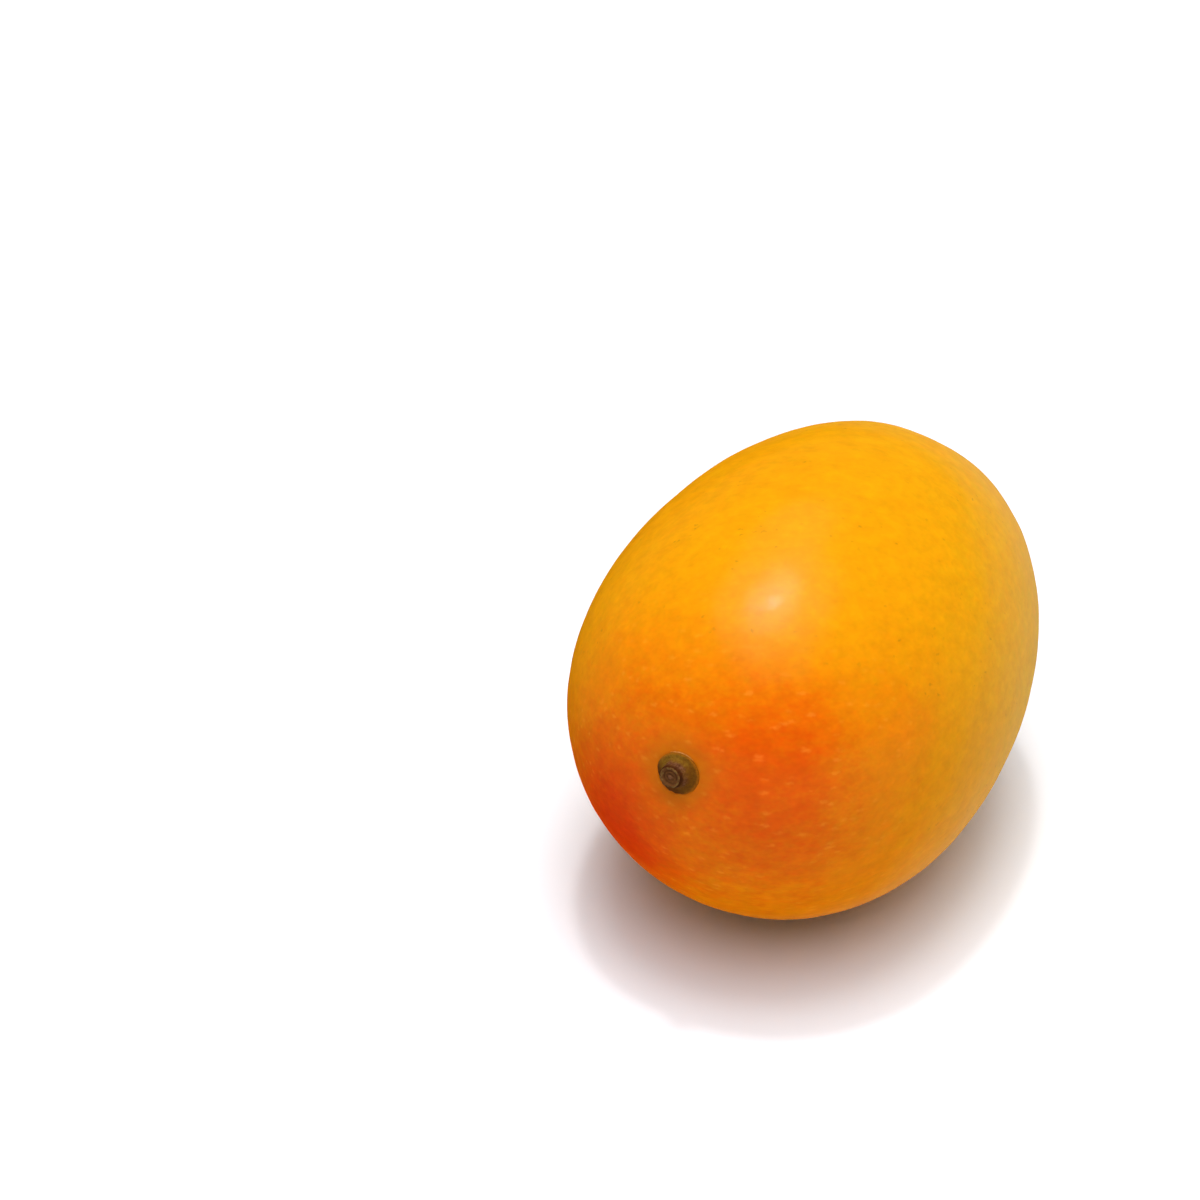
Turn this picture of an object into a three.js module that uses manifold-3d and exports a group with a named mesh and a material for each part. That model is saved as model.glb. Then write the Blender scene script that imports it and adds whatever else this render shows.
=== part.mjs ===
// A whole ripe mango lying on its narrow side, with the stub of its stalk. Millimetres, +Z up.
// X runs along the fruit: the stalk is at -X and the blunt apex at +X. Y runs across it.
// The origin is at the middle of the bounding box's underside, on the surface that the fruit lies on.
import * as THREE from "three";
import { mergeVertices, toCreasedNormals } from "three/addons/utils/BufferGeometryUtils.js";
import Module from "manifold-3d";

const wasm = await Module();
wasm.setup();

// The fruit's size along its own axes.
const LENGTH = 110;
const HEIGHT = 86.5;
const WIDTH = 78;

// How its form departs from an ellipsoid.
const STALK_END_FULLER = 0.066; // towards the stalk the fruit is this share fuller, towards the apex slimmer
const ENDS_WIDER = 0.1; // both ends are this share wider than an ellipsoid's
const ENDS_HIGHER = 0.02; // and this share higher
const ARCH = 4; // both ends lift by this much, so that the belly bulges down
const LEAN = 1.3; // both ends lean to +Y by this much

// How it lies.
const PITCH = THREE.MathUtils.degToRad(4); // the fuller stalk end lies higher
const FLAT_DEPTH = 0.8; // how much its own weight has pressed flat where it lies

// Landmarks, each as a direction from the middle of the fruit.
const STALK = new THREE.Vector3(-1, 0, 0.11).normalize();
const BEAK = new THREE.Vector3(0.97, 0, 0.26).normalize();
const SINUS = new THREE.Vector3(0.86, 0, 0.5).normalize();

// Soft swellings (+) and hollows (-) of the surface, each a height and a radius.
const SWELLINGS = [
  { at: BEAK, height: 1.3, radius: 9 },
  { at: SINUS, height: -1.2, radius: 11 },
  { at: STALK, height: -1, radius: 9 },
];

// Slow waves that keep the skin from being a perfect curve: each a height, a direction with its
// frequency, and a phase.
const WAVES = [
  { height: 0.18, along: new THREE.Vector3(3.1, 2.3, 0), phase: 0.7 },
  { height: 0.15, along: new THREE.Vector3(0, -2.4, 3.9), phase: 1.9 },
  { height: 0.12, along: new THREE.Vector3(-3.3, 0, 4.6), phase: 4 },
];

// The stub of the stalk: a peg in the flesh, a flared collar and a short neck with a ringed scar on its end.
const COLLAR_RADIUS = 4.1;
const COLLAR_SUNK = 0.7;
const COLLAR_RISE = 0.35;
const PEG_RADIUS = 2.3;
const PEG_DEPTH = 3;
const NECK_RADIUS = 2.15;
const STUB_HEIGHT = 2.8;
const NECK_LEAN = 0.1; // the neck leans up by this share of its height
const SEAT_GAP = 0.3;

const FRUIT_SEGMENTS = 64;
const FRUIT_RINGS = 44;
const RING_CROWDING = 0.4; // the rings lie closer together near the stalk
const STUB_SEGMENTS = 28;
const CREASE = THREE.MathUtils.degToRad(20);

// The fruit's body without its swellings, for a unit direction from its middle.
function bodyPoint(u) {
  const toEnd = u.x ** 2;
  const taper = 1 - STALK_END_FULLER * u.x;
  return new THREE.Vector3(
    (LENGTH / 2) * u.x,
    (WIDTH / 2) * u.y * (taper + ENDS_WIDER * toEnd) + LEAN * toEnd,
    (HEIGHT / 2) * u.z * (taper + ENDS_HIGHER * toEnd) + ARCH * toEnd,
  );
}

// The outward direction of the plain ellipsoid of the fruit's size.
function outward(u) {
  return new THREE.Vector3(u.x / LENGTH, u.y / WIDTH, u.z / HEIGHT).normalize();
}

// The finished skin, for a unit direction from the fruit's middle.
function skinPoint(u) {
  const point = bodyPoint(u);
  let rise = 0;
  for (const { at, height, radius } of SWELLINGS)
    rise += height * Math.exp(-point.distanceToSquared(bodyPoint(at)) / radius ** 2);
  for (const { height, along, phase } of WAVES) rise += height * Math.sin(along.dot(u) + phase);
  return point.addScaledVector(outward(u), rise);
}

// The skin's outward normal at the stalk, from a short step to the side and one upwards.
function stalkNormal() {
  const step = 0.01;
  const acrossSkin = new THREE.Vector3(0, step, 0);
  const upSkin = new THREE.Vector3().crossVectors(STALK, acrossSkin);
  const here = skinPoint(STALK);
  const across = skinPoint(STALK.clone().add(acrossSkin).normalize()).sub(here);
  const up = skinPoint(STALK.clone().add(upSkin).normalize()).sub(here);
  return across.cross(up).normalize();
}

// A closed geometry as a solid for cutting.
function toSolid(geometry) {
  const bare = new THREE.BufferGeometry();
  bare.setAttribute("position", geometry.getAttribute("position").clone());
  bare.setIndex(geometry.index.clone());
  const merged = mergeVertices(bare);
  return new wasm.Manifold(
    new wasm.Mesh({
      numProp: 3,
      vertProperties: merged.getAttribute("position").array,
      triVerts: new Uint32Array(merged.index.array),
    }),
  );
}

// A cut solid as a geometry for a mesh, smooth but for the edges of its cuts.
function toGeometry(solid) {
  const { vertProperties, triVerts } = solid.getMesh();
  const geometry = new THREE.BufferGeometry();
  geometry.setAttribute("position", new THREE.BufferAttribute(vertProperties, 3));
  geometry.setIndex(new THREE.BufferAttribute(triVerts, 1));
  return toCreasedNormals(geometry, CREASE);
}

// Moves every vertex of a geometry to where a rule says.
function reshape(geometry, rule) {
  const position = geometry.getAttribute("position");
  const vertex = new THREE.Vector3();
  for (let i = 0; i < position.count; i++) {
    const moved = rule(vertex.fromBufferAttribute(position, i));
    position.setXYZ(i, moved.x, moved.y, moved.z);
  }
  return geometry;
}

// The skin as a closed surface, turned to its pitch. Its rings run from the apex to the stalk.
function makeSkin(pitched) {
  const arc = [];
  for (let i = 0; i <= FRUIT_RINGS; i++) {
    const t = 1 - i / FRUIT_RINGS;
    const fromStalk = Math.PI * ((1 - RING_CROWDING) * t + RING_CROWDING * t * t);
    const onAxis = i === 0 || i === FRUIT_RINGS;
    arc.push(new THREE.Vector2(onAxis ? 0 : Math.sin(fromStalk), Math.cos(fromStalk)));
  }
  const toStalk = new THREE.Quaternion().setFromUnitVectors(THREE.Object3D.DEFAULT_UP, STALK);
  return reshape(new THREE.LatheGeometry(arc, FRUIT_SEGMENTS), (v) =>
    skinPoint(v.applyQuaternion(toStalk).normalize()).applyQuaternion(pitched),
  );
}

// The stub's outline from the foot of its peg to the middle of its scar, about the stalk's axis.
function stubOutline() {
  const rim = STUB_HEIGHT;
  return [
    [0, -PEG_DEPTH],
    [PEG_RADIUS - 0.5, -PEG_DEPTH],
    [PEG_RADIUS, -PEG_DEPTH + 0.6],
    [PEG_RADIUS, -COLLAR_SUNK],
    [COLLAR_RADIUS - 0.25, -COLLAR_SUNK],
    [COLLAR_RADIUS, -COLLAR_SUNK + 0.35],
    [COLLAR_RADIUS - 0.1, COLLAR_RISE - 0.2],
    [COLLAR_RADIUS - 0.5, COLLAR_RISE],
    [NECK_RADIUS + 0.7, COLLAR_RISE + 0.15],
    [NECK_RADIUS + 0.15, COLLAR_RISE + 0.6],
    [NECK_RADIUS, 0.6 * rim],
    [NECK_RADIUS + 0.05, rim - 0.4],
    [NECK_RADIUS - 0.15, rim - 0.1],
    [NECK_RADIUS - 0.45, rim],
    [NECK_RADIUS - 0.75, rim - 0.3],
    [NECK_RADIUS - 1.15, rim - 0.2],
    [NECK_RADIUS - 1.45, rim - 0.35],
    [NECK_RADIUS - 1.8, rim - 0.1],
    [0, rim - 0.05],
  ].map(([r, h]) => new THREE.Vector2(r, h));
}

// The stub stands up its own +Y. Above its seat it is slightly out of round, and its neck leans.
function makeStub() {
  return reshape(new THREE.LatheGeometry(stubOutline(), STUB_SEGMENTS), (v) => {
    const turn = Math.atan2(v.x, v.z);
    const above = THREE.MathUtils.smoothstep(v.y, 0, COLLAR_RISE);
    const swell = 1 - above * (0.03 + 0.03 * Math.sin(2 * turn + 0.6) + 0.02 * Math.sin(5 * turn));
    return v.set(v.x * swell, v.y, v.z * swell + NECK_LEAN * Math.max(v.y, 0));
  });
}

// What is cut out of the fruit for the stub: its peg's hole and its collar's cup, a gap wider all round.
function makeSeat() {
  const mouth = STUB_HEIGHT + 2;
  const cup = COLLAR_RADIUS + SEAT_GAP;
  const hole = PEG_RADIUS + SEAT_GAP;
  const outline = [
    [0, -PEG_DEPTH - SEAT_GAP],
    [hole, -PEG_DEPTH - SEAT_GAP],
    [hole, -COLLAR_SUNK - SEAT_GAP],
    [cup, -COLLAR_SUNK - SEAT_GAP],
    [cup, mouth],
    [0, mouth],
  ];
  return new THREE.LatheGeometry(
    outline.map(([r, h]) => new THREE.Vector2(r, h)),
    STUB_SEGMENTS,
  );
}

// The surface that the fruit lies on, as a block whose top is at the given height.
function makeGround(top) {
  const size = 2 * LENGTH;
  return new THREE.BoxGeometry(size, size, size).translate(0, 0, top - size / 2);
}

const pitched = new THREE.Quaternion().setFromAxisAngle(new THREE.Vector3(0, 1, 0), PITCH);
const stalkPoint = skinPoint(STALK).applyQuaternion(pitched);
const stalkAxis = stalkNormal().applyQuaternion(pitched);
const alongStalk = new THREE.Quaternion().setFromUnitVectors(THREE.Object3D.DEFAULT_UP, stalkAxis);

const skin = makeSkin(pitched);
skin.computeBoundingBox();
const flatLevel = skin.boundingBox.min.z + FLAT_DEPTH;
const seat = makeSeat().applyQuaternion(alongStalk).translate(...stalkPoint);
const fruitSolid = toSolid(skin).subtract(toSolid(makeGround(flatLevel))).subtract(toSolid(seat));

const fruit = new THREE.Mesh(
  toGeometry(fruitSolid),
  new THREE.MeshStandardMaterial({ color: 0xf29a12, roughness: 0.42, metalness: 0 }),
);
fruit.name = "fruit";

const stub = new THREE.Mesh(
  makeStub(),
  new THREE.MeshStandardMaterial({ color: 0x5c3f22, roughness: 0.85, metalness: 0 }),
);
stub.name = "stem_stub";
stub.quaternion.copy(alongStalk);
stub.position.copy(stalkPoint);

// The fruit lies on Z = 0, with its bounding box centred over the origin.
const lying = new THREE.Group().add(fruit, stub);
const bounds = new THREE.Box3().setFromObject(lying, true);
const middle = bounds.getCenter(new THREE.Vector3());
lying.position.set(-middle.x, -middle.y, -flatLevel);

const mango = new THREE.Group().add(lying);
export default mango;
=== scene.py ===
"""A whole ripe mango lying on its narrow side, with the stub of its stalk, on a pale floor."""

import math

import bpy
import numpy as np
from mathutils import Matrix, Vector


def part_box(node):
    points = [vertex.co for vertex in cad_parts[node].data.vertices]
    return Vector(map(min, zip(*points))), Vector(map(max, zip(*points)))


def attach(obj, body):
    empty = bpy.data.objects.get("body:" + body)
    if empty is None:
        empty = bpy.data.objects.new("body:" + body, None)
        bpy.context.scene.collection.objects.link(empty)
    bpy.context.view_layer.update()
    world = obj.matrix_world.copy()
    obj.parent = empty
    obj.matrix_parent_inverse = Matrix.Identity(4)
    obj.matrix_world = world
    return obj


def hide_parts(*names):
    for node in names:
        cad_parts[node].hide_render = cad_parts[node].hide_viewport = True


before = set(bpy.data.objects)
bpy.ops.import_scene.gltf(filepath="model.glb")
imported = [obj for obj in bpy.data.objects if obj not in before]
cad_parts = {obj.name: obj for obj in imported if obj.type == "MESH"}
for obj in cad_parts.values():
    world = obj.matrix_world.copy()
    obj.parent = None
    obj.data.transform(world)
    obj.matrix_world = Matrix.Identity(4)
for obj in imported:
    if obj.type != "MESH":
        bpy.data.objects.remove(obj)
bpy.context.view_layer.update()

# Shapes are worked out in millimetres in the part's own frame, and MM brings them to the scene's metres.
MM = 0.001
SEED = 7

# ---------------------------------------------------------------- the fruit's form

# The same driving dimensions as the part's own source.
LENGTH = 110.0
HEIGHT = 86.5
WIDTH = 78.0
STALK_END_FULLER = 0.066
ENDS_WIDER = 0.1
ENDS_HIGHER = 0.02
ARCH = 4.0  # how much higher the ends sit than the middle
LEAN = 1.3  # how much further to one side they sit
PITCH = math.radians(4)


def unit(*xyz):
    return np.array(xyz, float) / np.linalg.norm(xyz)


# Landmarks, each as a direction from the middle of the fruit.
STALK = unit(-1, 0, 0.11)
BEAK = unit(0.97, 0, 0.26)
SINUS = unit(0.86, 0, 0.5)

# Soft swellings and hollows: where, how high and how wide.
SWELLINGS = ((BEAK, 1.3, 9.0), (SINUS, -1.2, 11.0), (STALK, -1.0, 9.0))

# Slow waves: how high each is, how fast it runs along each axis, and its phase.
WAVES = ((0.18, (3.1, 2.3, 0), 0.7), (0.15, (0, -2.4, 3.9), 1.9), (0.12, (-3.3, 0, 4.6), 4.0))

# Fine relief of the skin, as the length and height of its waves.
DIMPLES = ((14.0, 0.045), (6.0, 0.014), (3.0, 0.005))
WAVES_A_LAYER = 24
LENGTHS_SPREAD = (0.75, 1.35)  # a layer's shortest and longest waves, as shares of its length

# The cup that the stalk's collar sits in, with a low lip round it.
CUP_RADIUS = 3.82
CUP_DEPTH = 0.95
CUP_WALL = 0.14
CUP_OUT_OF_ROUND = 0.02
CUP_OUT_OF_ROUND_PHASE = 1.0
LIP_HEIGHT = 0.1
LIP_WIDTH = 0.5
LIP_HIGHLIGHT_TURN = math.radians(82)  # from sideways to up, where the painted highlight on the lip is strongest
NEAR_AXIS = 0.1  # the least distance from the stalk's axis that the side of the lip's painted highlight divides by

FLAT_ROUNDING = 0.2  # how softly the skin turns into the flat spot that the fruit lies on

# The skin's rings go round the stalk, and are closest together at the cup's wall.
SKIN_SEGMENTS = 256
FIRST_RING = 0.4
RING_STEP = 0.72
FINE_RING_STEP = 0.05
RING_GROWTH = 0.16
STALK_CURVE = 46.0  # the skin's radius of curvature at the stalk

# The coarser sample that places the skin in the CAD body's box.
SAMPLE_STEP = 2.0
SAMPLE_SEGMENTS = 96


def smoothstep(low, high, value):
    t = np.clip((value - low) / (high - low), 0, 1)
    return t * t * (3 - 2 * t)


def body_points(u):
    """The fruit without its swellings, for unit directions from its middle."""
    x, y, z = u.T
    to_end = x**2
    taper = 1 - STALK_END_FULLER * x
    return np.stack(
        (
            LENGTH / 2 * x,
            WIDTH / 2 * y * (taper + ENDS_WIDER * to_end) + LEAN * to_end,
            HEIGHT / 2 * z * (taper + ENDS_HIGHER * to_end) + ARCH * to_end,
        ),
        axis=-1,
    )


def outward(u):
    """The outward direction of the plain ellipsoid of the fruit's size."""
    n = u / (LENGTH, WIDTH, HEIGHT)
    return n / np.linalg.norm(n, axis=-1, keepdims=True)


def skin_points(u):
    """The smooth skin, for unit directions from the fruit's middle."""
    points = body_points(u)
    rise = np.zeros(len(u))
    for at, height, radius in SWELLINGS:
        away = np.linalg.norm(points - body_points(at[None]), axis=-1)
        rise += height * np.exp(-((away / radius) ** 2))
    for height, along, phase in WAVES:
        rise += height * np.sin(u @ np.array(along) + phase)
    return points + outward(u) * rise[:, None]


def stalk_normal():
    """The skin's outward normal at the stalk, in the fruit's own frame."""
    step = 0.01
    across = unit(*(STALK + (0, step, 0)))
    up = unit(*(STALK + np.cross(STALK, (0, step, 0))))
    here, a, b = skin_points(np.array((STALK, across, up)))
    return unit(*np.cross(a - here, b - here))


def pitched(vectors):
    """Vectors of the fruit's own frame, turned as the fruit lies."""
    return vectors @ np.array(Matrix.Rotation(PITCH, 3, "Y")).T


class Lie:
    """How the fruit lies in the part's frame: pitched, then shifted to where the CAD body is."""

    def __init__(self):
        low, high = (np.array(corner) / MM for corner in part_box("fruit"))
        sample = pitched(skin_points(sphere_directions(ring_angles(SAMPLE_STEP), SAMPLE_SEGMENTS)))
        middle = (sample.min(0) + sample.max(0)) / 2
        self.shift = (low + high) / 2 - middle
        self.shift[2] = high[2] - sample.max(0)[2]  # by the top: below, the flat spot cuts the CAD body
        self.stalk = self.place(skin_points(STALK[None]))[0]
        self.axis = pitched(stalk_normal())

    def place(self, points):
        return pitched(points) + self.shift

    def stalk_sides(self):
        """The directions up and sideways across the stalk."""
        up = unit(*(np.array((0, 0, 1)) - self.axis[2] * self.axis))
        return up, np.cross(up, self.axis)


# ---------------------------------------------------------------- meshes


def ring_angles(step=RING_STEP):
    """Angles of the skin's rings from the stalk to the apex, seen from the middle of the fruit."""
    angles = []
    away = FIRST_RING
    while away < math.pi * STALK_CURVE - step / 2:
        angles.append(away / STALK_CURVE)
        from_wall = max(0, abs(away - CUP_RADIUS) - 2 * CUP_WALL)
        away += min(step, FINE_RING_STEP + RING_GROWTH * from_wall)
    return np.array(angles)


def sphere_directions(angles, segments):
    """Unit directions: the stalk's, then ring after ring round it, and the apex's last."""
    turn = np.arange(segments) * 2 * math.pi / segments
    side = unit(*np.cross((0, 1, 0), STALK))
    across = np.cross(STALK, side)
    ring = np.outer(np.cos(turn), side) + np.outer(np.sin(turn), across)
    rings = np.cos(angles)[:, None, None] * STALK + np.sin(angles)[:, None, None] * ring
    return np.vstack((STALK, rings.reshape(-1, 3), -STALK))


def ring_faces(rings, segments):
    """Faces of a closed surface of rings between two poles, facing out, for points in that order."""
    first = 1 + np.arange(rings)[:, None] * segments + np.arange(segments)
    after = np.roll(first, -1, axis=1)
    quads = np.stack((first[:-1], first[1:], after[1:], after[:-1]), axis=-1).reshape(-1, 4)
    last = 1 + rings * segments
    start = [(0, int(a), int(b)) for a, b in zip(first[0], after[0])]
    end = [(last, int(b), int(a)) for a, b in zip(first[-1], after[-1])]
    return start + quads.tolist() + end


def relief(points, layers, rng):
    """A smooth random relief: layers of plane waves, of about one length each, in random directions."""
    total = np.zeros(len(points))
    for length, height in layers:
        directions = rng.normal(size=(WAVES_A_LAYER, 3))
        directions /= np.linalg.norm(directions, axis=1, keepdims=True)
        turns = 2 * math.pi / (length * rng.uniform(*LENGTHS_SPREAD, WAVES_A_LAYER))
        phases = rng.uniform(0, 2 * math.pi, WAVES_A_LAYER)
        waves = np.sin(points @ (directions * turns[:, None]).T + phases)
        total += height * waves.sum(1) * math.sqrt(2 / WAVES_A_LAYER)
    return total


def make_piece(name, points, faces, fields, material, node):
    """A smooth mesh from points in millimetres, with named values at its points, in a CAD node's place."""
    mesh = bpy.data.meshes.new(name)
    mesh.from_pydata((points * MM).tolist(), [], faces)
    mesh.shade_smooth()
    for field, values in fields.items():
        layer = mesh.attributes.new(field, "FLOAT", "POINT")
        layer.data.foreach_set("value", values.astype(np.float32))
    mesh.materials.append(material)
    piece = bpy.data.objects.new(name, mesh)
    bpy.context.collection.objects.link(piece)
    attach(piece, "root")
    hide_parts(node)


# ---------------------------------------------------------------- the skin

# The blush: places on the skin in millimetres, each with a radius and how much redder it makes the skin.
# A least-squares fit to the photo's colours gave these numbers. They were rounded, and a few were then
# changed a little.
BLUSH_EVERYWHERE = 0.1
BLUSH = (
    ((-52, 10, 32), 59, 0.77),  # the wash over the stalk's half
    ((-53, 14, 52), 41, -0.63),  # its paler middle
    ((-50, 8, 60), 20, 0.44),  # round and above the stalk
    ((-46, -15, 65), 11, 0.31),  # the red patch beside the stalk
    ((-52, -17, 50), 17, 0.38),  # and below it
    ((-54, 17, 45), 11, 0.46),  # the deep red cheek
    ((-49, 14, 32), 11, 0.88),
    ((-34, 35, 31), 15, 0.42),  # and its end on the far shoulder
    ((-30, -32, 63), 11, 0.11),
    ((-2, -41, 35), 44, -0.14),  # the lemon-yellow flank
    ((-19, 3, 3), 23, -0.36),  # the shaded underside
)


def blush_field(points):
    """How red the skin is, from 0 in lemon yellow to 1 in deep red."""
    field = np.full(len(points), BLUSH_EVERYWHERE)
    for centre, radius, strength in BLUSH:
        away = np.linalg.norm(points - centre, axis=1)
        field += strength * np.exp(-((away / radius) ** 2))
    return field


def distance_from_stalk(offset, lie):
    """How far each point is from the stalk's axis. The apex's end counts as far, though the axis meets it."""
    along = offset @ lie.axis
    distance = np.linalg.norm(offset - np.outer(along, lie.axis), axis=1)
    distance[along < -LENGTH / 4] = LENGTH
    return distance


def cup_and_lip(offset, from_stalk):
    """How far the skin stands out round the stalk: down in the cup, and a little up in its lip."""
    turn = np.arctan2(offset[:, 1], offset[:, 2])
    out_of_round = CUP_OUT_OF_ROUND * np.sin(2 * turn + CUP_OUT_OF_ROUND_PHASE)
    from_wall = from_stalk * (1 + out_of_round) - CUP_RADIUS
    cup = CUP_DEPTH * (1 - smoothstep(-CUP_WALL, CUP_WALL, from_wall))
    lip = LIP_HEIGHT * np.exp(-(((from_wall - LIP_WIDTH) / LIP_WIDTH) ** 2))
    return lip - cup


def highlight_side_of_lip(offset, lie):
    """1 on the side of the stalk where the lip's painted highlight is strongest, down to -1 across from it.
    """
    up, side = (offset @ direction for direction in lie.stalk_sides())
    return (up * math.sin(LIP_HIGHLIGHT_TURN) + side * math.cos(LIP_HIGHLIGHT_TURN)) / np.maximum(np.hypot(up, side), NEAR_AXIS)


def make_skin(lie, rng):
    """The whole skin as one surface, with the cup for the stalk's collar pressed into it."""
    angles = ring_angles()
    u = sphere_directions(angles, SKIN_SEGMENTS)
    points = lie.place(skin_points(u))
    points = points + pitched(outward(u)) * relief(points, DIMPLES, rng)[:, None]
    offset = points - lie.stalk
    from_stalk = distance_from_stalk(offset, lie)
    points = points + np.outer(cup_and_lip(offset, from_stalk), lie.axis)
    points[:, 2] = (points[:, 2] + np.hypot(points[:, 2], FLAT_ROUNDING)) / 2
    # The last field places the painted highlight on the upper side of the cup's lip.
    fields = {"blush": blush_field(points), "from_stalk": from_stalk, "lip_highlight_side": highlight_side_of_lip(offset, lie)}
    faces = ring_faces(len(angles), SKIN_SEGMENTS)
    make_piece("mango_skin", points, faces, fields, skin_material(), "fruit")


# ---------------------------------------------------------------- the stub of the stalk

# The stub's outline from the foot of its peg to the middle of its scar: radius and height above the skin.
STUB_OUTLINE = (
    (0, -3), (1.8, -3), (2.2, -2.5), (2.25, -1.4), (2.3, -0.75), (3.3, -0.72), (3.55, -0.4),
    (3.7, -0.02), (3.92, 0.08), (4.0, 0.17), (3.93, 0.28), (3.65, 0.38), (3.3, 0.48), (2.95, 0.66),
    (2.65, 0.98), (2.42, 1.4), (2.27, 1.9), (2.2, 2.35), (2.18, 2.65), (2.08, 2.86), (1.92, 2.97),
    (1.75, 3.0), (1.58, 2.92), (1.42, 2.76), (1.22, 2.7), (1.05, 2.76), (0.86, 2.78), (0.68, 2.68),
    (0.54, 2.64), (0.4, 2.74), (0.2, 2.84), (0, 2.86),
)
COLLAR_RADIUS = 4.0
OUTLINE_STEPS = 5
STUB_SEGMENTS = 120
STUB_LEAN = (-0.1, 0.12)  # sideways and up, for each millimetre of height

# Where a form of the stub starts and where it is full, by height or radius.
ABOVE_SKIN = (0, 0.4)
NECK_HEIGHTS = (0.4, 1)
NECK_RADII = (1.7, 2.05)
COLLAR_RADII = (2.8, 3.8)
SUNK_RADII = (2.6, 3.8)
BARK_HEIGHTS = (-0.6, 0.2)

# Waves round the stub: how deep each is, how many go to a turn, and its phase.
SWELLS = ((0.03, 2, 0.6), (0.02, 5, 0))  # in shares of the radius
EDGE_WAVES = ((0.1, 3, 1), (0.06, 7, 2.2))  # in millimetres, along the collar's edge
FIBRES = 19
FIBRE_DEPTH = 0.03
FIBRE_CROWDING = 1.5  # how much the fibres crowd together
FIBRE_CROWDS = 3  # and in how many places

SLIMMER = 0.03  # the share of the radius that is taken off above the skin
EDGE_SHARE = 0.5  # how much of the edge's waves goes into its height, and into drawing it in
COLLAR_SINKS = 0.2  # how far the collar's edge sinks into the skin on its upper side
SINKING_SIDE = (-0.3, 0.5)
BARK = ((1.6, 0.035), (0.7, 0.022), (0.33, 0.01))  # the bark's relief, as the length and height of its waves
BARK_CORE = 2.0  # it stands out from the place on the axis that is this far below each point


def smooth_outline(corners, steps):
    """A Catmull-Rom curve through the corners, kept off the far side of the axis."""
    corners = np.array(corners, float)
    padded = np.vstack((corners[0], corners, corners[-1]))
    t = (np.arange(steps) / steps)[:, None]
    curve = []
    for a, b, c, d in zip(padded, padded[1:], padded[2:], padded[3:]):
        slope = (c - a) / 2
        bend = (2 * a - 5 * b + 4 * c - d) / 2
        twist = (3 * b - a - 3 * c + d) / 2
        curve.append(b + slope * t + bend * t**2 + twist * t**3)
    curve = np.vstack((*curve, corners[-1:]))
    curve[:, 0] = np.maximum(curve[:, 0], 0)
    return curve


def waves_round(turn, waves):
    return sum(depth * np.sin(count * turn + phase) for depth, count, phase in waves)


def stub_points(outline):
    """The upright stub's points: its foot's middle, ring after ring, and its scar's middle."""
    turn = (np.arange(STUB_SEGMENTS) * 2 * math.pi / STUB_SEGMENTS)[None, :]
    radius, height = outline[:, :1], outline[:, 1:]
    above = smoothstep(*ABOVE_SKIN, height)
    neck = smoothstep(*NECK_HEIGHTS, height) * smoothstep(*NECK_RADII, radius)
    swell = 1 - above * (SLIMMER + waves_round(turn, SWELLS))
    fibre = FIBRE_DEPTH * np.sin(FIBRES * turn + FIBRE_CROWDING * np.sin(FIBRE_CROWDS * turn)) * neck
    edge = waves_round(turn, EDGE_WAVES) * smoothstep(*COLLAR_RADII, radius)
    sunk = smoothstep(*SINKING_SIDE, np.sin(turn) + np.cos(turn)) * smoothstep(*SUNK_RADII, radius)
    wide = radius * swell + fibre - edge * above - EDGE_SHARE * np.abs(edge)
    high = height + EDGE_SHARE * edge * above - COLLAR_SINKS * sunk
    rings = np.stack((wide * np.sin(turn), wide * np.cos(turn), high), axis=-1).reshape(-1, 3)
    return np.vstack(((0, 0, STUB_OUTLINE[0][1]), rings, (0, 0, STUB_OUTLINE[-1][1])))


def make_stub(lie, rng):
    """The woody stub: its collar, its fibrous neck and the ringed scar on its end."""
    outline = smooth_outline(STUB_OUTLINE, OUTLINE_STEPS)[1:-1]
    local = stub_points(outline)
    from_axis = np.hypot(local[:, 0], local[:, 1])
    local[:, :2] += np.outer(np.maximum(local[:, 2], 0), STUB_LEAN)
    sideways, upwards, height = local.T

    up, side = lie.stalk_sides()
    points = lie.stalk + local @ np.array((side, up, lie.axis))
    rough = relief(points, BARK, rng) * smoothstep(*BARK_HEIGHTS, height)
    away = points - (lie.stalk + np.outer(height - BARK_CORE, lie.axis))
    points = points + away / np.linalg.norm(away, axis=1, keepdims=True) * rough[:, None]
    reach = math.sqrt(2) * COLLAR_RADIUS
    fields = {
        "from_axis": from_axis,
        "height": height,
        "green_side": (upwards - sideways) / reach,
        # This field points to the collar's lower side, where its painted shade goes; its painted highlight
        # lies away from it.
        "shaded_side": -(upwards + sideways) / reach,
    }
    faces = ring_faces(len(outline), STUB_SEGMENTS)
    make_piece("stalk_stub", points, faces, fields, stub_material(), "stem_stub")


# ---------------------------------------------------------------- materials

DOT_CORE = 0.15  # how much of a dot's radius is as strong as its middle
DOTS_FADE = 0.3  # how gradually dots go from missing to strong
WOBBLE_SIZE = 0.9


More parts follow.
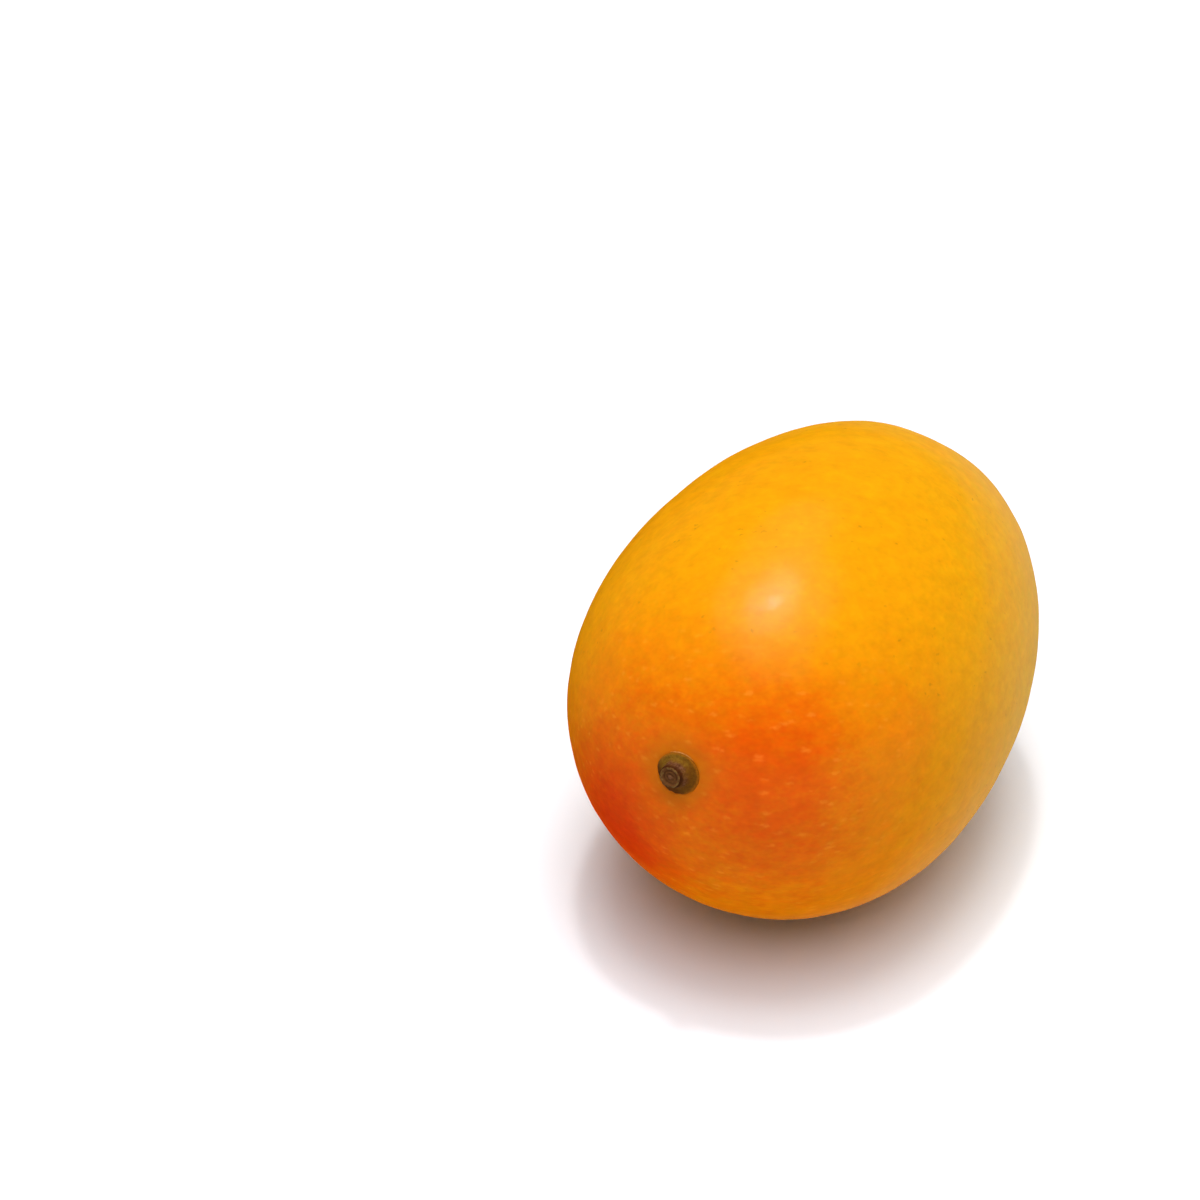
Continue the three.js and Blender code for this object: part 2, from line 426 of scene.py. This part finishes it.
class Shader:
    """A material or world whose nodes are added one by one. Each call returns the new node's output."""

    def __init__(self, owner, surface="Principled BSDF"):
        owner.use_nodes = True
        self.owner = owner
        self.tree = owner.node_tree
        self.surface = self.tree.nodes[surface]

    def feed(self, socket, value):
        if isinstance(value, bpy.types.NodeSocket):
            self.tree.links.new(value, socket)
        else:
            socket.default_value = value

    def add(self, kind, inputs, output=0, **settings):
        node = self.tree.nodes.new("ShaderNode" + kind)
        for name, value in settings.items():
            setattr(node, name, value)
        for key, value in inputs.items():
            self.feed(node.inputs[key], value)
        return node.outputs[output]

    def set(self, **inputs):
        for name, value in inputs.items():
            self.feed(self.surface.inputs[name.replace("_", " ")], value)

    def math(self, operation, a, b=0.0):
        return self.add("Math", {0: a, 1: b}, operation=operation)

    def both(self, a, b):
        """Where both masks are, or one of them as strong as a number."""
        return self.math("MULTIPLY", a, b)

    def step(self, value, low, high):
        """0 below low and 1 above high, smooth between. With low above high it falls instead."""
        if low < high:
            limits = {"From Min": low, "From Max": high, "To Min": 0.0, "To Max": 1.0}
        else:
            limits = {"From Min": high, "From Max": low, "To Min": 1.0, "To Max": 0.0}
        return self.add("MapRange", {"Value": value, **limits}, interpolation_type="SMOOTHSTEP")

    def band(self, value, rise, fall):
        """1 between where a value's mask has risen and where it starts to fall."""
        return self.both(self.step(value, *rise), self.step(value, *fall))

    def spread(self, value, amount):
        """A texture's value, about 0.5, as a change of up to half the amount either way."""
        return self.math("MULTIPLY", self.math("SUBTRACT", value, 0.5), amount)

    def varied(self, value, place, size, amount, **grain):
        """A value that a noise raises and lowers by up to half the amount."""
        return self.math("ADD", self.spread(self.noise(place, size, **grain), amount), value)

    def mix(self, share, a, b):
        """A colour between two, by the Mix node's colour sockets."""
        return self.add("Mix", {0: share, 6: a, 7: b}, output=2, data_type="RGBA")

    def blend(self, share, a, b):
        """A number between two, by its number sockets."""
        return self.add("Mix", {0: share, 2: a, 3: b})

    def field(self, name):
        return self.add("Attribute", {}, output="Fac", attribute_name=name)

    def place(self, stretch=(1, 1, 1), turn=0.0):
        """Where a point is, in millimetres. A pattern is longer along an axis with a smaller stretch."""
        where = self.add("TexCoord", {}, output="Object")
        if turn:
            where = self.add("VectorRotate", {"Vector": where, "Angle": turn}, rotation_type="Z_AXIS")
        factors = tuple(factor / MM for factor in stretch)
        return self.add("VectorMath", {0: where, 1: factors}, operation="MULTIPLY")

    def noise(self, place, size, detail=2.0, roughness=0.5):
        inputs = {"Vector": place, "Scale": 1 / size, "Detail": detail, "Roughness": roughness}
        return self.add("TexNoise", inputs, output="Fac")

    def wobbled(self, place, amount):
        """A place that a fine noise shifts by up to half the amount, so that dots on it aren't round."""
        inputs = {"Vector": self.place(), "Scale": 1 / WOBBLE_SIZE, "Detail": 1.0}
        shift = self.add("TexNoise", inputs, output="Color")
        shift = self.add("VectorMath", {0: shift, 1: (0.5, 0.5, 0.5)}, operation="SUBTRACT")
        return self.add("VectorMath", {0: shift, 1: (amount,) * 3, 2: place}, operation="MULTIPLY_ADD")

    def dots(self, place, spacing, radius, share):
        """Soft dots about a spacing apart, of up to a radius, in a share of the places."""
        inputs = {"Vector": place, "Scale": 1 / spacing}
        away = self.add("TexVoronoi", inputs, output="Distance")
        chosen = self.add("TexVoronoi", inputs, output="Color")
        chosen = self.add("SeparateColor", {0: chosen}, output=0)
        edge = radius / spacing
        strength = self.step(chosen, 1 - share, 1 - share + DOTS_FADE)
        return self.both(self.step(away, edge, DOT_CORE * edge), strength)

    def bump(self, height, depth, under=None):
        """A relief of the given depth in millimetres, on top of another one if there is one."""
        inputs = {"Height": height, "Distance": depth * MM, "Strength": 1.0}
        if under is not None:
            inputs["Normal"] = under
        return self.add("Bump", inputs, output=0)


# Colours of the skin by how red it is, in linear light. The green is about 0.42 * (0.065 / 0.42) ** redness,
# the law that the fit of the blush used.
SKIN_TONES = (
    (0.0, (0.77, 0.420, 0.005)),
    (0.15, (0.77, 0.318, 0.001)),
    (0.35, (0.76, 0.220, 0.001)),
    (0.55, (0.74, 0.152, 0.0005)),
    (0.78, (0.73, 0.098, 0.0005)),
    (1.05, (0.70, 0.059, 0.0005)),
    (1.35, (0.65, 0.038, 0.0005)),
)
TONES_END = 1.4

# In these values sizes are in millimetres and colours in linear light. A pair says where a marking starts and
# where it is full, going up or down: by blush, by a noise's value or by the distance from the stalk.
GRAIN_TURN = math.radians(-28)
GRAIN_STRETCH = (1, 0.65, 1)
MOTTLE_SIZE = 4.0
MOTTLE_GRAIN = {"detail": 3.0, "roughness": 0.9}
MOTTLE_AMOUNT = 0.64
MOTTLE_BLUSH = (0.15, 0.7)
MOTTLE_LEAST = 0.26  # the share of the mottling that the yellow skin has
SHADE_SIZE = 2.4
SHADE_GRAIN = {"detail": 2.0, "roughness": 0.8}
SHADE_AMOUNT = 0.34

# Lenticels: the pale dots in the blush.
LENTICELS = {"spacing": 1.85, "radius": 0.6, "share": 0.9}
LENTICEL_STRETCH = (1, 0.42, 1)
LENTICEL_WOBBLE = 0.7
LENTICEL_BLUSH = ((0.1, 0.5), (1.2, 0.8))
LENTICEL_PALER = -0.1
LENTICEL_COLOUR = (0.95, 0.260, 0.035, 1)
LENTICEL_TINT = 0.25

# Specks: the small dark dots, in clusters on the yellow skin.
SPECKS = {"spacing": 1.3, "radius": 0.4, "share": 0.45}
SPECK_WOBBLE = 1.1
SPECK_BLUSH = (0.5, 0.2)
SPECK_CLUSTER_SIZE = 9.0
SPECK_CLUSTERS = (0.46, 0.62)
SPECK_COLOUR = (0.40, 0.150, 0.004, 1)
SPECK_TINT = 0.6

# Round the stalk: a darker halo, a painted highlight on the upper side of the cup's lip, and the cup itself.
HALO_EDGE = (9.0, 4.0)
HALO_COLOUR = (0.50, 0.140, 0.002, 1)
HALO_TINT = 0.6
LIP_EDGES = ((3.8, 3.92), (4.25, 4.05))
LIP_RAGGED_SIZE = 1.2
LIP_RAGGED_BY = 0.6
LIP_HIGHLIGHT_SIDE = (0.8, 0.95)
LIP_PAINTED_HIGHLIGHT = (0.80, 0.420, 0.120, 1)
LIP_HIGHLIGHT_TINT = 0.6
CUP_EDGE = (3.9, 3.7)
CUP_COLOUR = (0.20, 0.070, 0.008, 1)

# The skin's gloss is all in its waxy coat, which has a gentler relief than the pored skin under it.
ROUGHNESS = 0.45
ROUGHNESS_SIZE = 4.0
ROUGHNESS_AMOUNT = 0.12
PORE_SIZE = 0.55
PORE_GRAIN = {"detail": 3.0, "roughness": 0.6}
PORE_DEPTH = 0.012
LENTICEL_HEIGHT = 0.02
COAT = {"Coat_Weight": 0.165, "Coat_Roughness": 0.22, "Coat_IOR": 1.6}
COAT_RELIEF_SIZE = 2.4
COAT_RELIEF = 0.05
LIGHT_IN_SKIN = {"Subsurface_Weight": 0.12, "Subsurface_Scale": 3 * MM, "Subsurface_Radius": (1.0, 0.35, 0.1)}


def tone_ramp(s, redness):
    ramp = s.add("ValToRGB", {"Fac": s.math("DIVIDE", redness, TONES_END)}).node
    stops = ramp.color_ramp.elements
    while len(stops) < len(SKIN_TONES):
        stops.new(0.5)
    for stop, (place, colour) in zip(stops, SKIN_TONES):
        stop.position = place / TONES_END
        stop.color = (*colour, 1)
    return ramp.outputs["Color"]


def add_mottling(s, blush, across):
    """The blush broken up by mottling, which is strongest where the skin is red."""
    mottling = s.spread(s.noise(across, MOTTLE_SIZE, **MOTTLE_GRAIN), MOTTLE_AMOUNT)
    share = s.math("MULTIPLY", s.step(blush, *MOTTLE_BLUSH), 1 - MOTTLE_LEAST)
    share = s.math("ADD", share, MOTTLE_LEAST)
    return s.math("ADD", blush, s.both(mottling, share))


def lenticel_mask(s, blush):
    place = s.wobbled(s.place(LENTICEL_STRETCH, GRAIN_TURN), LENTICEL_WOBBLE)
    return s.both(s.dots(place, **LENTICELS), s.band(blush, *LENTICEL_BLUSH))


def speck_mask(s, blush, across):
    clusters = s.step(s.noise(s.place(), SPECK_CLUSTER_SIZE, detail=3.0), *SPECK_CLUSTERS)
    clusters = s.both(clusters, s.step(blush, *SPECK_BLUSH))
    return s.both(s.dots(s.wobbled(across, SPECK_WOBBLE), **SPECKS), clusters)


def colour_round_stalk(s, colour):
    """The skin's colour with the halo, the painted highlight on the lip and the cup painted over it."""
    from_stalk = s.field("from_stalk")
    colour = s.mix(s.both(s.step(from_stalk, *HALO_EDGE), HALO_TINT), colour, HALO_COLOUR)
    # The lip's pale colour is a painted highlight, on the upper side of the stalk.
    side = s.varied(s.field("lip_highlight_side"), s.place(), LIP_RAGGED_SIZE, LIP_RAGGED_BY)
    lip = s.both(s.band(from_stalk, *LIP_EDGES), s.step(side, *LIP_HIGHLIGHT_SIDE))
    colour = s.mix(s.both(lip, LIP_HIGHLIGHT_TINT), colour, LIP_PAINTED_HIGHLIGHT)
    return s.mix(s.step(from_stalk, *CUP_EDGE), colour, CUP_COLOUR)


def skin_colour(s, lenticels):
    across = s.place(GRAIN_STRETCH, GRAIN_TURN)
    blush = s.field("blush")
    redness = s.math("ADD", add_mottling(s, blush, across), s.math("MULTIPLY", lenticels, LENTICEL_PALER))
    colour = tone_ramp(s, redness)
    colour = s.mix(s.both(lenticels, LENTICEL_TINT), colour, LENTICEL_COLOUR)
    colour = s.mix(s.both(speck_mask(s, blush, across), SPECK_TINT), colour, SPECK_COLOUR)
    shade = s.varied(1.0, across, SHADE_SIZE, SHADE_AMOUNT, **SHADE_GRAIN)
    colour = s.add("HueSaturation", {"Value": shade, "Color": colour})
    return colour_round_stalk(s, colour)


def skin_material():
    s = Shader(bpy.data.materials.new("waxy_skin"))
    place = s.place()
    lenticels = lenticel_mask(s, s.field("blush"))
    pores = s.bump(s.noise(place, PORE_SIZE, **PORE_GRAIN), PORE_DEPTH)
    s.set(Base_Color=skin_colour(s, lenticels), Normal=s.bump(lenticels, LENTICEL_HEIGHT, pores))
    s.set(Roughness=s.varied(ROUGHNESS, place, ROUGHNESS_SIZE, ROUGHNESS_AMOUNT))
    s.set(Specular_IOR_Level=0.0, **COAT, **LIGHT_IN_SKIN)
    s.set(Coat_Normal=s.bump(s.noise(place, COAT_RELIEF_SIZE, detail=3.0), COAT_RELIEF))
    return s.owner


# Colours of the stub, in linear light.
COLLAR_OLIVE = (0.195, 0.092, 0.008, 1)
COLLAR_BROWN = (0.150, 0.055, 0.004, 1)
# The collar's painted shade on its lower side, and its painted highlight along its upper edge.
COLLAR_PAINTED_SHADE = (0.110, 0.028, 0.002, 1)
COLLAR_PAINTED_HIGHLIGHT = (0.440, 0.120, 0.004, 1)
BARK_BROWN = (0.165, 0.068, 0.032, 1)
BARK_DARK = (0.055, 0.015, 0.003, 1)
SCAR_RIM = (0.180, 0.092, 0.026, 1)
SCAR_FACE = (0.130, 0.049, 0.014, 1)
SCAR_NUB = (0.180, 0.074, 0.032, 1)

# Its bark is darker in the grain and towards its end. Pairs are as in the skin's values, in millimetres where
# they go by radius or height.
BARK_GRAIN_SIZE = 0.35
BARK_GRAIN = {"detail": 4.0, "roughness": 0.65}
BARK_GRAIN_DEPTH = 0.06
BARK_GRAIN_DARK = (0.6, 0.4)
BARK_GRAIN_TINT = 0.6
ALL_OVER_GRAIN_TINT = 0.3
BARK_END = (1.6, 2.6)

# The collar is olive on its green side. Along its edge on the upper side it has a painted highlight, and on
# its lower side painted shade.
PATCH_SIZE = 1.6
PATCH_AMOUNT = 2.4
PATCH_EDGE_SHARE = 0.5  # how far patches push the collar's inner edge in and out
COLLAR_GREEN = (-0.3, 0.7)
COLLAR_INNER_EDGE = (2.1, 2.65)
SHADED_SIDE_SIZE = 1.2
SHADED_SIDE_AMOUNT = 0.6
LIT_RADII = (3.35, 3.95)
LIT_SIDE = (0.5, 0.1)
LIT_TINT = 0.65
# Where the painted shade on the collar's lower side lies, and how strong it is.
PAINTED_SHADE_RADII = (2.6, 3.2)
PAINTED_SHADE_SIDE = (0.25, 0.6)
PAINTED_SHADE_TINT = 0.85

# The scar has a nub in its middle, a broken rim and dark grooves. Its colours wander off its rings.
SCAR_EDGE = (1.98, 1.86)
SCAR_WANDER_SIZE = 0.8
SCAR_WANDER = 1.3
NUB_EDGE = (0.3, 0.6)
RIM_EDGES = ((1.4, 1.65), (2.05, 1.85))
RIM_BREAK_SIZE = 0.9
RIM_BREAKS = (0.46, 0.56)
GROOVE_HEIGHTS = (2.8, 2.66)
GROOVE_BREAK_SIZE = 0.7
GROOVE_BREAKS = (0.36, 0.7)

STUB_ROUGHNESS = 0.75
STUB_ROUGHNESS_AMOUNT = 0.2
STUB_SPECULAR = 0.03


def collar_and_bark(s, from_axis, dark_grain):
    """The colours of the neck and the collar, with patches of each along the edge between them."""
    patches = s.spread(s.noise(s.place(), PATCH_SIZE, detail=3.0), PATCH_AMOUNT)
    green = s.math("ADD", s.field("green_side"), patches)
    collar = s.mix(s.step(green, *COLLAR_GREEN), COLLAR_BROWN, COLLAR_OLIVE)
    bark = s.mix(s.both(dark_grain, BARK_GRAIN_TINT), BARK_BROWN, BARK_DARK)
    bark = s.mix(s.step(s.field("height"), *BARK_END), bark, BARK_DARK)
    inner_edge = s.math("ADD", from_axis, s.math("MULTIPLY", patches, PATCH_EDGE_SHARE))
    return s.mix(s.step(inner_edge, *COLLAR_INNER_EDGE), bark, collar)


def shade_collar(s, from_axis, colour):
    """The collar's painted highlight along its upper edge, and painted shade on its lower side."""
    shaded_side = s.varied(s.field("shaded_side"), s.place(), SHADED_SIDE_SIZE, SHADED_SIDE_AMOUNT)
    # painted highlight along the collar's upper edge
    lit = s.both(s.step(from_axis, *LIT_RADII), s.step(shaded_side, *LIT_SIDE))
    colour = s.mix(s.both(lit, LIT_TINT), colour, COLLAR_PAINTED_HIGHLIGHT)
    # painted shade on the collar's lower side
    painted_shade = s.both(s.step(from_axis, *PAINTED_SHADE_RADII), s.step(shaded_side, *PAINTED_SHADE_SIDE))
    return s.mix(s.both(painted_shade, PAINTED_SHADE_TINT), colour, COLLAR_PAINTED_SHADE)


def scar_colour(s, from_axis):
    place = s.place()
    ring = s.varied(from_axis, place, SCAR_WANDER_SIZE, SCAR_WANDER)
    colour = s.mix(s.step(ring, *NUB_EDGE), SCAR_NUB, SCAR_FACE)
    rim = s.both(s.band(ring, *RIM_EDGES), s.step(s.noise(place, RIM_BREAK_SIZE), *RIM_BREAKS))
    colour = s.mix(rim, colour, SCAR_RIM)
    unbroken = s.step(s.noise(place, GROOVE_BREAK_SIZE), *GROOVE_BREAKS)
    groove = s.both(s.step(s.field("height"), *GROOVE_HEIGHTS), unbroken)
    return s.mix(groove, colour, BARK_DARK)


def stub_material():
    s = Shader(bpy.data.materials.new("dry_stalk"))
    from_axis = s.field("from_axis")
    grain = s.noise(s.place(), BARK_GRAIN_SIZE, **BARK_GRAIN)
    dark_grain = s.step(grain, *BARK_GRAIN_DARK)
    colour = shade_collar(s, from_axis, collar_and_bark(s, from_axis, dark_grain))
    colour = s.mix(s.step(from_axis, *SCAR_EDGE), colour, scar_colour(s, from_axis))
    colour = s.mix(s.both(dark_grain, ALL_OVER_GRAIN_TINT), colour, BARK_DARK)
    s.set(Base_Color=colour, Normal=s.bump(grain, BARK_GRAIN_DEPTH))
    s.set(Roughness=s.math("ADD", s.spread(grain, STUB_ROUGHNESS_AMOUNT), STUB_ROUGHNESS))
    s.set(Specular_IOR_Level=STUB_SPECULAR)
    return s.owner


# ---------------------------------------------------------------- camera, light and floor

# The camera's place in metres, its angles and its lens. A fit to the outline in the photo, made for the
# camera and the fruit's form together, gave the place and the angles.
CAMERA_AT = (-0.5343, -0.2386, 0.4968)
CAMERA_AZIMUTH = math.radians(-62.07)
CAMERA_ELEVATION = math.radians(36.94)
LENS = 120.0

# Soft lights: each its direction from the fruit, its distance and size in metres, and its power. They started
# from a fit of trial lights to the floor and the skin in the photo, and were then changed.
LIGHTS = {
    "overhead": ((0, 0, 1), 3.0, 3.0, 29.0),
    "inner": ((0, 0, 1), 2.97, 1.5, 33.0),
    "front": ((-0.37, -0.21, 0.91), 3.0, 2.4, 48.0),
    "spark": ((0.017, 0.055, 1), 2.94, 0.22, 15.5),
    "beyond": ((0.52, 0.2, 0.83), 3.0, 1.6, 8.0),
}
NO_GLOSS_FROM = "front"  # it lights the surfaces, but leaves no highlight
ONLY_GLOSS_FROM = "beyond"  # it is seen in the gloss alone
LIT_POINT = Vector((0, 0, 0.04))

WORLD_COLOUR = (0.9, 1.0, 1.08, 1)
WORLD_STRENGTH = 0.17
BACKDROP_STRENGTH = 1.1  # of the world where the camera itself sees it, beyond the floor

# The bright floor as the gloss sees it: which way it lies from the fruit, how bright it is, and over which
# cosines of the angle from there it comes in.
FLOOR_SHINES_FROM = (0.86, -0.2, -0.47)
FLOOR_SHINE = 1.75
FLOOR_SHINE_COSINES = (0.72, 1.15)

FLOOR_SIZE = 40.0
FLOOR_COLOUR = (0.88, 0.905, 0.94, 1)
FLOOR_ROUGHNESS = 0.9
FLOOR_SPECULAR = 0.1
FLOOR_LIT_FROM = 0.4  # the floor has a light of its own from here outwards, where the lights above fall off
FLOOR_LIT_BY = 4.0
FLOOR_GLOW = 1.0


def add_camera():
    data = bpy.data.cameras.new("camera")
    data.lens = LENS
    camera = bpy.data.objects.new("camera", data)
    bpy.context.collection.objects.link(camera)
    camera.location = CAMERA_AT
    camera.rotation_euler = (math.pi / 2 - CAMERA_ELEVATION, 0, CAMERA_AZIMUTH)
    bpy.context.scene.camera = camera


def add_light(name, direction, distance, size, power):
    data = bpy.data.lights.new(name, "AREA")
    data.shape = "DISK"
    data.size = size
    data.energy = power
    light = bpy.data.objects.new(name, data)
    bpy.context.collection.objects.link(light)
    direction = Vector(direction).normalized()
    light.location = LIT_POINT + direction * distance
    light.rotation_euler = direction.to_track_quat("Z", "Y").to_euler()
    light.visible_glossy = name != NO_GLOSS_FROM
    light.visible_diffuse = name != ONLY_GLOSS_FROM


def add_floor():
    half = FLOOR_SIZE / 2
    corners = [(-half, -half, 0), (half, -half, 0), (half, half, 0), (-half, half, 0)]
    mesh = bpy.data.meshes.new("floor")
    mesh.from_pydata(corners, [], [(0, 1, 2, 3)])
    s = Shader(bpy.data.materials.new("pale_floor"))
    away = s.add("VectorMath", {0: s.place()}, output="Value", operation="LENGTH")
    glow = s.step(away, FLOOR_LIT_FROM / MM, FLOOR_LIT_BY / MM)
    s.set(Base_Color=FLOOR_COLOUR, Roughness=FLOOR_ROUGHNESS, Specular_IOR_Level=FLOOR_SPECULAR)
    s.set(Emission_Color=(1, 1, 1, 1), Emission_Strength=s.math("MULTIPLY", glow, FLOOR_GLOW))
    mesh.materials.append(s.owner)
    floor = bpy.data.objects.new("floor", mesh)
    bpy.context.collection.objects.link(floor)
    floor.visible_glossy = False  # the world's lower half stands in for it


def set_world():
    """Dim light from all round. Its lower half is what the gloss sees in place of the floor."""
    world = bpy.data.worlds.new("studio")
    s = Shader(world, "Background")
    toward = s.add("TexCoord", {}, output="Generated")
    below = s.math("LESS_THAN", s.add("SeparateXYZ", {0: toward}, output="Z"), 0.0)
    cosine = s.add("VectorMath", {0: toward, 1: FLOOR_SHINES_FROM}, output="Value", operation="DOT_PRODUCT")
    shine = s.math("MULTIPLY", s.step(cosine, *FLOOR_SHINE_COSINES), FLOOR_SHINE)
    strength = s.blend(below, WORLD_STRENGTH, shine)
    seen = s.add("LightPath", {}, output="Is Camera Ray")
    s.set(Color=WORLD_COLOUR, Strength=s.blend(seen, strength, BACKDROP_STRENGTH))
    bpy.context.scene.world = world


# ---------------------------------------------------------------- the scene

rng = np.random.default_rng(SEED)
lie = Lie()
make_skin(lie, rng)
make_stub(lie, rng)

add_camera()
for name, placing in LIGHTS.items():
    add_light(name, *placing)
add_floor()
set_world()
bpy.context.scene.view_settings.view_transform = "Standard"
